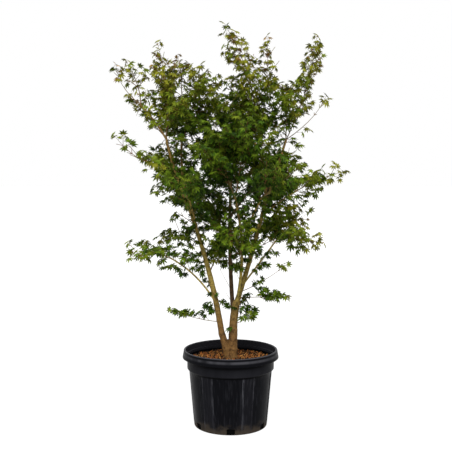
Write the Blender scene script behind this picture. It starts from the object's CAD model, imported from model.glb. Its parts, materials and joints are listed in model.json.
import itertools
import json
import math
import random
from dataclasses import dataclass

import bpy
import numpy as np
from mathutils import Matrix, Vector

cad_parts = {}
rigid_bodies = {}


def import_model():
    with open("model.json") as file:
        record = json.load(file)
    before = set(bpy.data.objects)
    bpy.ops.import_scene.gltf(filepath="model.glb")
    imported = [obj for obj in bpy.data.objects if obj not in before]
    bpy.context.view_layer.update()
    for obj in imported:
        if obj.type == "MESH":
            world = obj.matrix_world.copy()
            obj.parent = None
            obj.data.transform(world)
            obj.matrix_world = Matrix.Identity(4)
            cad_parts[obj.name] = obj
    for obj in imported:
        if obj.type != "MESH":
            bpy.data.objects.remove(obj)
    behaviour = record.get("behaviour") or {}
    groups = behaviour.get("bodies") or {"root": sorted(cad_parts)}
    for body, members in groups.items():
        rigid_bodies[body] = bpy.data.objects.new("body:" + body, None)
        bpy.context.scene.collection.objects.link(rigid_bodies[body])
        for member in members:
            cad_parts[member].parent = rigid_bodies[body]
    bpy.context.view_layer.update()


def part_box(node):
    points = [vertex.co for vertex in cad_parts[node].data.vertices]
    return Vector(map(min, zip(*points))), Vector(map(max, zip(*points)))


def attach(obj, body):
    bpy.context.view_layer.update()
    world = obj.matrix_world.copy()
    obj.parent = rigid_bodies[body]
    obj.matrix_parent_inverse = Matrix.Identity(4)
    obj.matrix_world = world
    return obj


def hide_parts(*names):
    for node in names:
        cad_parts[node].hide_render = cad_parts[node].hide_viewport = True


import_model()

# A young maple shrub in its black nursery pot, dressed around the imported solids.
# Metres, +Z up, with the origin under the pot and the front of the plant facing -Y.

BODY = "root"
UP = Vector((0, 0, 1))

# Camera, floor and light.
IMAGE_WIDTH = 452
FOCAL_PIXELS = 770
SENSOR_WIDTH = 36
CAMERA_PLACE = (-0.024, -4.0, 1.30)
CAMERA_PITCH = math.radians(-3.6)
FAR_CLIP = 100
FLOOR_SIZE = 200
FLOOR_TONE = 0.14
FLOOR_GLOW = 0.82
WORLD_STRENGTH = 1.0
SUN_TURN = (math.radians(38), math.radians(-3), 0)
SUN_STRENGTH = 4.6
SUN_WIDTH = math.radians(32)

# The pot's outline: heights and radii beside those of its solid.
POT_LOW, POT_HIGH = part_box("pot")
POT_HEIGHT = POT_HIGH.z
RIM_RADIUS = 0.252
RIM_TOP_RADIUS = 0.246
RIM_DEPTH = 0.042
RIM_ROUNDING = 0.0045
RIM_FOOT = POT_HEIGHT - RIM_DEPTH
SKIRT_WALL = 0.0035
SKIRT_KNEE = (0.35, 0.45)
SKIRT_EDGE = (0.0006, 0.006)
MOUTH_RADIUS = 0.235
BAND_RADIUS = 0.2285
BAND_DEPTH = 0.060
BAND_STEP = 0.005
BAND_CURVE = (0.001, 0.003, 0.0015)
UNDERCUTS = (0.012, 0.014, 0.011)
BAND_FOOT = RIM_FOOT - BAND_DEPTH
BODY_RADIUS = 0.218
BASE_RADIUS = 0.1915
FOOT_CURVE = 0.008
FLOOR_THICKNESS = 0.006
WALL = 0.0045
ARC_STEPS = 5
FOOT_STEPS = 6
POT_SIDES = 360
POT_TURN = math.radians(-5)
FLUTES = 6
PANEL_DEPTH = 0.0032
PANEL_HALF_ANGLE = math.radians(22)
PANEL_MARGIN = 0.014
GROOVE_DEPTH = 0.0016
GROOVE_HALF_ANGLE = math.radians(1.6)
WALL_RINGS = 12
DRAIN_SIZE = Vector((0.042, 0.060, 0.030))
DRAIN_SILL = 0.0025
DRAIN_ROUNDING = 0.005
DRAIN_CORNER_STEPS = 4
POT_SMOOTH_ANGLE = math.radians(32)

# The filling: soil under a mulch of bark chips.
SOIL_HEIGHT = 0.352
SOIL_EDGE_HEIGHT = 0.341
SOIL_UNEVENNESS = 0.0035
SOIL_SEED = 4
SOIL_CLEARANCE = 0.001
SOIL_SIDES = 96
SOIL_RINGS = 14
SOIL_SMOOTH_ANGLE = math.radians(38)
CHIPS = 3600
CHIP_SEEDS = (1, 2, 3)
CHIP_LENGTHS = (0.006, 0.019)
CHIP_SHORTENING = (0.6, 1)
CHIP_PROPORTIONS = (1, 0.40, 0.18)
CHIP_ROUGHNESS = 0.09
CHIP_TILT = math.radians(32)
CHIP_HEIGHTS = (0.0005, 0.0090)
CHIP_CLEAR_RADIUS = 0.034
# Name, colour, colour of its broken edges, and its share of the chips.
CHIP_KINDS = (
    ("red_bark_chip", (0.160, 0.050, 0.009), (0.33, 0.115, 0.022), 6),
    ("tan_bark_chip", (0.220, 0.100, 0.022), (0.44, 0.210, 0.055), 2),
    ("dark_bark_chip", (0.016, 0.008, 0.003), (0.070, 0.028, 0.008), 10),
)

# Bark.
GROWN_SIDES = 14
RING_STEP = 0.012
FEWEST_RINGS = 6
SCAR_STEP = 0.075
SCAR_SWELLING = 0.07
SCAR_WIDTH = 0.007
COLLAR_SWELLING = 0.42
COLLAR_LENGTH = 0.016
VOXEL = 0.0022
VOXEL_LOSS = 0.15
SMOOTHING = {"factor": 0.5, "iterations": 4}
# Relief in the bark: size of its patches, depth beside that of the piece, and how far they are drawn out.
RELIEFS = ((0.016, 1.6, 2.5), (0.0045, 1, 6))
TRUNK_RELIEF = 0.0011
STEM_RELIEF = 0.0008
BOUGH_RELIEF = 0.0005
BARK_SMOOTH_ANGLE = math.radians(80)
TWIG_SMOOTH_ANGLE = math.radians(60)
FLARE_FOOT = Vector((0, 0, 0.346))
FLARE_HEIGHT = 0.060
FLARE_RADII = (0.026, 0.016)
FLARE_STEPS = 8
ROOTS = 5
ROOT_TURN = math.radians(22)
ROOT_REACH = 0.034
ROOT_HEAD = 0.040
ROOT_RADII = (0.006, 0.011)
ROOT_BOW = (0, 0, -0.006)

# The rule that a mass of foliage grows by, as in the solids: opposite pairs of side shoots up its stem.
STEM_RADII = (0.0040, 0.0018)
AXIS_POINTS = 5
FORK_SPREAD = 0.5
PAIR_STEP = 0.090
FIRST_PAIR = 0.10
LAST_PAIR = 0.90
PAIR_TURN = math.radians(78)
PAIR_TURN_VARIATION = math.radians(17)
SHOOT_ANGLE = math.radians(58)
SHOOT_RISE = 0.14
SHOOT_SHRINK = 0.78
SHOOT_FLATNESS = 0.60
SHOOT_VARIATION = 0.15
SHOOT_SAMPLES = (0, 0.4, 0.7, 1)
TWIG_SAMPLES = (0.5, 0.8, 1)
SHORTENINGS = (1.0, 0.75, 0.5, 0.35)
SPRAY_LENGTH = 0.155
SPRAY_SHRINK = 0.52
FULL_SPRAY_REACH = 0.13
SPACE_MARGIN = 0.003
LIMB_CLEARANCE = 0.008
LOWEST_LEAF = 0.44

# What it is carried on to here: leafy twigs where the solids have one large leaf.
TWIG_LENGTH = 0.100
HEART_TWIG_LENGTH = 0.180
TWIG_SHRINK = 0.75
FULL_TWIG_REACH = 0.16
TIP_VIGOUR = 1.25
TWIG_STEP = 0.027
FIRST_TWIG = 0.16
LAST_TWIG = 0.90
TWIG_SPREAD = math.radians(48)
TWIG_SHARE = 0.50
TIP_TWIG_SHARE = 0.60
TWIG_LIFT = 0.12
TWIG_LENGTHS = (0.7, 1)
TWIG_FLATNESS = 0.80
LOW_FLATNESS = 0.30
LOW_SPRAYS = 1.02
HEART_MARGIN = 0.08
EDGE_MARGIN = 0.02
TIP_MARGIN = 0.030
TWIG_QUARTER = math.radians(90)
TWIG_TURN_VARIATION = math.radians(22)
TWIG_RISE = 0.14
TWIG_NOD = 0.15
LOW_NOD = 0.02
TWIG_SIDES = 3
TWIG_MIDDLE = 0.6
TWIG_RADII = (0.0013, 0.0007)
SHOOT_SIDES = 5
SHOOT_RADII = (0.0021, 0.0012)
STEM_SIDES = 7
THINNEST_STEM = 0.55
SHOOT_THINNING = 0.75
MASS_RING_STEP = 0.04
LAST_STEM_TWIG = 0.97
STEM_TWIG_SPAN = 0.90
STEM_TWIG_STEP = 0.038
STEM_TWIG_SHARE = 0.85
BOUGH_TWIG_STEP = 0.048
BOUGH_TWIG_LENGTHS = (0.09, 0.21)
LOWEST_BOUGH_TWIG = 0.79
LEAF_STEP = 0.0192
LEAF_ROOM = 0.0232
HEART_LEAF_ROOM = 0.0155
BARE_SHARE = 0.16
LEAF_SIZE = 0.0334
LEAF_SIZE_VARIATION = 0.14
TWIG_LEAF_SIZES = (0.85, 1)
LEAF_SPREAD = math.radians(58)
YOUNG_LEAF = 0.60
YOUNG_FROM = 0.70
YOUNG_SPAN = 0.60
BUD_FROM = 0.92
BUD_LEAF = 0.40
BUD_SPREAD = math.radians(32)
BUD_SIZES = (0.7, 1.1)
PETIOLE = 0.018
PETIOLE_LENGTHS = (0.7, 1.2)
PETIOLE_RADIUS = 0.0006
LEAF_TILT = (math.radians(18), math.radians(70))
LEAF_TURN = math.radians(75)
LEAF_SAG = 0.45
LEAF_MIDDLE = 0.4
MOST_END_LEAF = 0.7
LEAF_PAIR_START = 0.35
BUD_STALK = 0.3

# Leaves: seven lobes from the stalk's end, as angle from the midrib, length and half width.
LOBES = ((0, 1.00, 0.152), (37, 0.95, 0.146), (74, 0.78, 0.122), (116, 0.44, 0.085))
LOBE_WIDEST = 0.54
NOTCH_RADII = (0.37, 0.34, 0.26, 0.14)
LOBE_FOLD = 0.035
LEAF_CUPS = (-0.10, -0.26, -0.44)

# Leaf colours from the oldest leaves to the youngest, and the youth at which each next one starts.
LEAF_COLOURS = {
    "leaves_shade": (0.010, 0.024, 0.0016),
    "leaves_deep": (0.025, 0.052, 0.0028),
    "leaves_green": (0.050, 0.080, 0.0038),
    "leaves_fresh": (0.084, 0.110, 0.0064),
    "leaves_olive": (0.122, 0.124, 0.0090),
    "leaves_bronze": (0.158, 0.094, 0.0170),
}
COLOUR_STEPS = (0.16, 0.36, 0.56, 0.78, 1.18)
LEAF_VARIATION = 0.10
DARK_LEAVES = ("leaves_shade", "leaves_deep", "leaves_green")
DARK_LEAF_SPREAD = 0.48
LIGHT_LEAF_SPREAD = 0.32

# Woody kinds: their colour and a second one that mottles it.
TWIG_COLOURS = {
    "mass_stems": ((0.110, 0.085, 0.028), (0.110, 0.055, 0.025)),
    "shoots": ((0.110, 0.100, 0.025), (0.120, 0.050, 0.024)),
    "twigs": ((0.105, 0.092, 0.018), (0.120, 0.045, 0.020)),
    "petioles": ((0.090, 0.095, 0.016), (0.120, 0.045, 0.018)),
}

# The heart of the crown: where it ends at the sides and the top, and where it is at its densest.
HEART_RADII = (0.46, 0.22)
HEART_HEIGHTS = (1.80, 1.45)

# How young a spray's leaves are, from its place in its mass and in the crown.
COLOUR_HEIGHTS = (0.75, 2.05)
COLOUR_SIDES = (0.16, 0.44)
COLOUR_FOOT = (0.95, 1.30)
COLOUR_TOP = (1.60, 1.90)
COLOUR_FLATNESS = 0.5
COLOUR_VARIATION = 0.095
YOUTH_ALONG = 0.12
YOUTH_SHARE = 0.10
YOUTH_HEIGHT = 0.40
YOUTH_OUT = 0.42
YOUTH_FOOT = 0.20
FOOT_SHARE = 0.45

# Masses whose leaves are older or younger than their place in the crown tells.
YOUTH_SHIFTS = {
    "front_left": -0.14,
    "front_right": -0.10,
    "front_low": -0.02,
    "centre_low": 0.10,
    "heart_left": 0.14,
    "lower_right_shoulder": 0.16,
    "lower_right_back": 0.18,
    "lower_right_wing": 0.06,
    "back_right_low": 0.18,
    "lower_left_wing": -0.20,
    "low_left": -0.14,
    "left_wing": -0.06,
    "upper_left_tall": 0.10,
    "upper_left_mid": 0.10,
    "far_left": 0.06,
    "left_shoulder": 0.05,
    "leader": 0.05,
}


# The limbs and the masses of foliage, as in the solids.


@dataclass
class Limb:
    """A tapering limb from its foot on its parent to its tip, bowed to one side midway.

    A mass of foliage is a limb with a reach, the length of the longest side shoots on it.
    """

    name: str
    parent: str
    along: float
    tip: tuple
    bow: tuple
    radii: tuple
    reach: float = 0.0
    foot: tuple = None

    def point(self, along):
        straight = Vector(self.foot).lerp(Vector(self.tip), along)
        return straight + Vector(self.bow) * 4 * along * (1 - along)

    def heading(self, along):
        chord = Vector(self.tip) - Vector(self.foot)
        return (chord + Vector(self.bow) * 4 * (1 - 2 * along)).normalized()

    def radius(self, along):
        return self.radii[0] + (self.radii[1] - self.radii[0]) * along

    def length(self):
        return (Vector(self.tip) - Vector(self.foot)).length

    def spray_length(self, along):
        """Length of the sprays at a place along a mass's stem: shorter near its tip and on a small mass."""
        return SPRAY_LENGTH * min(self.reach / FULL_SPRAY_REACH, 1) * (1 - SPRAY_SHRINK * along)

    def axis(self, rings):
        return [self.point(ring / (rings - 1)) for ring in range(rings)]


# The two halves of the trunk, which part above the soil.
LEFT_FOOT = (-0.010, 0, 0.33)
RIGHT_FOOT = (0.010, 0, 0.33)
TRUNK_HALVES = (
    Limb("trunk_left", "", 0, (-0.047, -0.003, 0.486), (0.004, 0, 0), (0.022, 0.0170), foot=LEFT_FOOT),
    Limb("trunk_right", "", 0, (0.014, 0.000, 0.500), (-0.001, 0, 0), (0.026, 0.0225), foot=RIGHT_FOOT),
)

# Stems and boughs: parent, share of its length, tip, bow, and radii at the foot and the tip.
LIMBS = (
    Limb("left_stem", "trunk_left", 1, (-0.197, -0.050, 1.097), (0.015, 0, 0), (0.0165, 0.0095)),
    Limb("right_stem", "trunk_right", 1, (0.034, 0.000, 0.655), (-0.005, 0, 0), (0.0220, 0.0195)),
    Limb("right_upper_stem", "right_stem", 1, (0.173, 0.050, 1.130), (0.004, -0.015, 0), (0.0140, 0.0090)),
    Limb("front_stem", "right_stem", 0.88, (0.021, -0.170, 1.200), (0.032, 0.010, 0), (0.0085, 0.0060)),
    Limb("centre_stem", "right_stem", 0.35, (0.006, 0.205, 1.330), (-0.014, 0.004, 0), (0.0120, 0.0075)),
    Limb("left_outer_bough", "left_stem", 1, (-0.325, -0.120, 1.500), (-0.012, 0, 0), (0.0080, 0.0060)),
    Limb("left_inner_bough", "left_stem", 1, (-0.255, 0.035, 1.480), (-0.020, 0.006, 0), (0.0070, 0.0055)),
    Limb("far_left_bough", "left_outer_bough", 1, (-0.450, -0.130, 1.660), (0.008, 0, 0), (0.0050, 0.0042)),
    Limb("left_wing_bough", "left_outer_bough", 0.5, (-0.44, -0.1, 1.385), (0, 0, 0.012), (0.0046, 0.0036)),
    Limb("right_outer_bough", "right_upper_stem", 1, (0.290, 0.035, 1.500), (0.002, 0, 0), (0.0075, 0.0058)),
    Limb("right_inner_bough", "right_upper_stem", 1, (0.13, 0.075, 1.48), (0.036, 0.01, 0), (0.007, 0.0058)),
    Limb("right_wing_bough", "right_upper_stem", 0.92, (0.35, 0, 1.235), (0, 0, 0.01), (0.005, 0.004)),
    Limb("low_left_bough", "left_stem", 0.26, (-0.311, -0.12, 0.896), (0.01, 0.01, 0.022), (0.005, 0.004)),
    Limb("low_right_bough", "right_upper_stem", 0.17, (0.235, -0.09, 0.985), (0, -0.01, 0), (0.005, 0.004)),
    Limb("back_left_bough", "centre_stem", 0.55, (-0.170, 0.285, 1.230), (0, 0, 0.020), (0.0054, 0.0046)),
    Limb("back_right_bough", "centre_stem", 0.68, (0.18, 0.29, 1.29), (0, 0, 0.02), (0.0054, 0.0046)),
    Limb("front_left_bough", "left_stem", 0.80, (-0.205, -0.225, 1.190), (0, 0, 0.010), (0.0052, 0.0044)),
    Limb("front_right_bough", "front_stem", 0.6, (0.15, -0.25, 1.2), (0, 0, 0.01), (0.005, 0.0044)),
)


def mass(name, parent, along, tip, bow, reach):
    """A mass of foliage on its own thin stem."""
    return Limb(name, parent, along, tip, bow, STEM_RADII, reach)


# Masses of foliage: carrier, share of its length, furthest tip, bow, and the reach of the side shoots.
MASSES = (
    mass("leader", "right_inner_bough", 1, (-0.019, 0.010, 2.108), (0.045, 0, 0), 0.24),
    mass("right_leader", "right_inner_bough", 1, (0.198, 0.010, 2.042), (0.020, 0, 0), 0.22),
    mass("upper_right", "right_outer_bough", 1, (0.285, -0.080, 1.880), (0, 0, 0), 0.20),
    mass("right_spire", "right_outer_bough", 1, (0.457, 0.000, 2.042), (0.020, 0, 0), 0.18),
    mass("right_shoot", "right_outer_bough", 1, (0.522, 0.040, 1.727), (0.020, 0, 0), 0.12),
    mass("right_shoulder", "right_upper_stem", 1, (0.470, 0.080, 1.490), (0, 0, 0.010), 0.16),
    mass("right_wing", "right_wing_bough", 1, (0.600, -0.050, 1.347), (0, 0, 0.008), 0.14),
    mass("lower_right_shoulder", "right_upper_stem", 0.76, (0.455, 0.060, 1.100), (0, 0, 0.010), 0.18),
    mass("upper_left_tall", "left_outer_bough", 1, (-0.359, -0.100, 1.990), (0.015, 0, 0), 0.19),
    mass("upper_left_mid", "far_left_bough", 1, (-0.524, -0.060, 1.909), (0.012, 0, 0), 0.12),
    mass("far_left", "far_left_bough", 1, (-0.595, -0.170, 1.862), (-0.020, 0, 0), 0.11),
    mass("left_shoulder", "left_outer_bough", 1, (-0.560, 0.020, 1.750), (0, 0, 0), 0.13),
    mass("left_wing", "left_wing_bough", 1, (-0.612, -0.110, 1.518), (0, 0, -0.010), 0.13),
    mass("upper_left_inner", "left_inner_bough", 1, (-0.270, 0.090, 1.960), (0.010, 0, 0), 0.20),
    mass("upper_centre_left", "left_inner_bough", 1, (-0.145, 0.020, 1.901), (0.010, 0, 0), 0.22),
    mass("upper_left_back", "left_inner_bough", 1, (-0.340, 0.300, 1.720), (0, 0, 0), 0.16),
    mass("left_low_shoulder", "left_stem", 0.93, (-0.450, -0.080, 1.215), (0, 0, 0.012), 0.13),
    mass("lower_left_wing", "low_left_bough", 1, (-0.570, -0.130, 0.935), (0, 0, 0.010), 0.14),
    mass("lower_left_inner", "left_stem", 0.76, (-0.430, 0.020, 1.040), (0, 0, 0.012), 0.16),
    mass("low_left", "left_stem", 0.10, (-0.318, -0.080, 0.622), (0, 0, -0.010), 0.07),
    mass("low_right", "right_stem", 0.20, (0.165, -0.050, 0.600), (0, 0, 0), 0.06),
    mass("low_right_wing", "right_upper_stem", 0.04, (0.306, -0.080, 0.690), (0, 0, 0), 0.08),
    mass("right_low", "right_upper_stem", 0.10, (0.300, -0.150, 0.870), (0, 0, -0.010), 0.09),
    mass("lower_right_wing", "low_right_bough", 1, (0.486, -0.110, 0.975), (0, 0, 0.010), 0.14),
    mass("lower_right_back", "right_upper_stem", 0.55, (0.360, 0.160, 1.010), (0, 0, 0.010), 0.15),
    mass("back_left", "back_left_bough", 1, (-0.400, 0.360, 1.400), (0, 0, 0), 0.17),
    mass("back_left_low", "back_left_bough", 1, (-0.300, 0.400, 1.120), (0, 0, 0), 0.15),
    mass("back_right", "back_right_bough", 1, (0.390, 0.350, 1.470), (0, 0, 0), 0.17),
    mass("back_right_low", "back_right_bough", 1, (0.300, 0.400, 1.150), (0, 0, 0), 0.15),
    mass("back_upper", "centre_stem", 1, (0.090, 0.330, 1.800), (0, 0, 0), 0.24),
    mass("centre_upper", "centre_stem", 1, (-0.070, 0.230, 1.760), (0, 0, 0), 0.22),
    mass("front_upper", "front_stem", 1, (0.090, -0.270, 1.640), (0, 0, 0), 0.24),
    mass("centre_front", "front_stem", 1, (-0.130, -0.180, 1.620), (0, 0, 0), 0.24),
    mass("front_left", "front_left_bough", 1, (-0.360, -0.350, 1.370), (0, 0, 0), 0.20),
    mass("front_right", "front_right_bough", 1, (0.340, -0.330, 1.360), (0, 0, 0), 0.20),
    mass("front_low", "front_stem", 0.45, (0.020, -0.360, 1.060), (0, 0, 0.010), 0.18),
    mass("heart_left", "left_stem", 0.52, (-0.020, 0.020, 0.990), (0, 0, 0.010), 0.13),
    mass("centre_low", "centre_stem", 0.46, (-0.170, 0.060, 1.200), (0, 0, 0), 0.18),
)

# Masses that stay open: the share of the usual length that their fine twigs have, and their leafy stretch.
OPEN_MASSES = {
    "leader": (0.76, 0, 1),
    "right_leader": (0.25, 0, 1),
    "right_shoot": (0.25, 0.65, 1),
    "right_shoulder": (0.30, 0, 0.80),
    "right_spire": (0.64, 0, 1),
    "upper_right": (0.75, 0, 0.80),
    "upper_left_tall": (0.85, 0, 1),
    "upper_left_mid": (0.75, 0, 1),
    "upper_left_back": (0.70, 0, 1),
    "left_wing": (0.40, 0, 1),
    "far_left": (0.50, 0.65, 1),
    "left_shoulder": (0.35, 0.65, 1),
    "right_wing": (0.75, 0, 1),
    "left_low_shoulder": (0.35, 0, 0.45),
    "lower_left_wing": (0.70, 0, 1),
    "lower_left_inner": (0.50, 0, 0.85),
    "lower_right_back": (0.50, 0, 1),
    "low_left": (0.20, 0.60, 1),
    "low_right": (0.30, 0.50, 0.92),
    "low_right_wing": (0.45, 0.40, 1),
    "right_low": (0.16, 0.90, 1),
}

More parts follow.
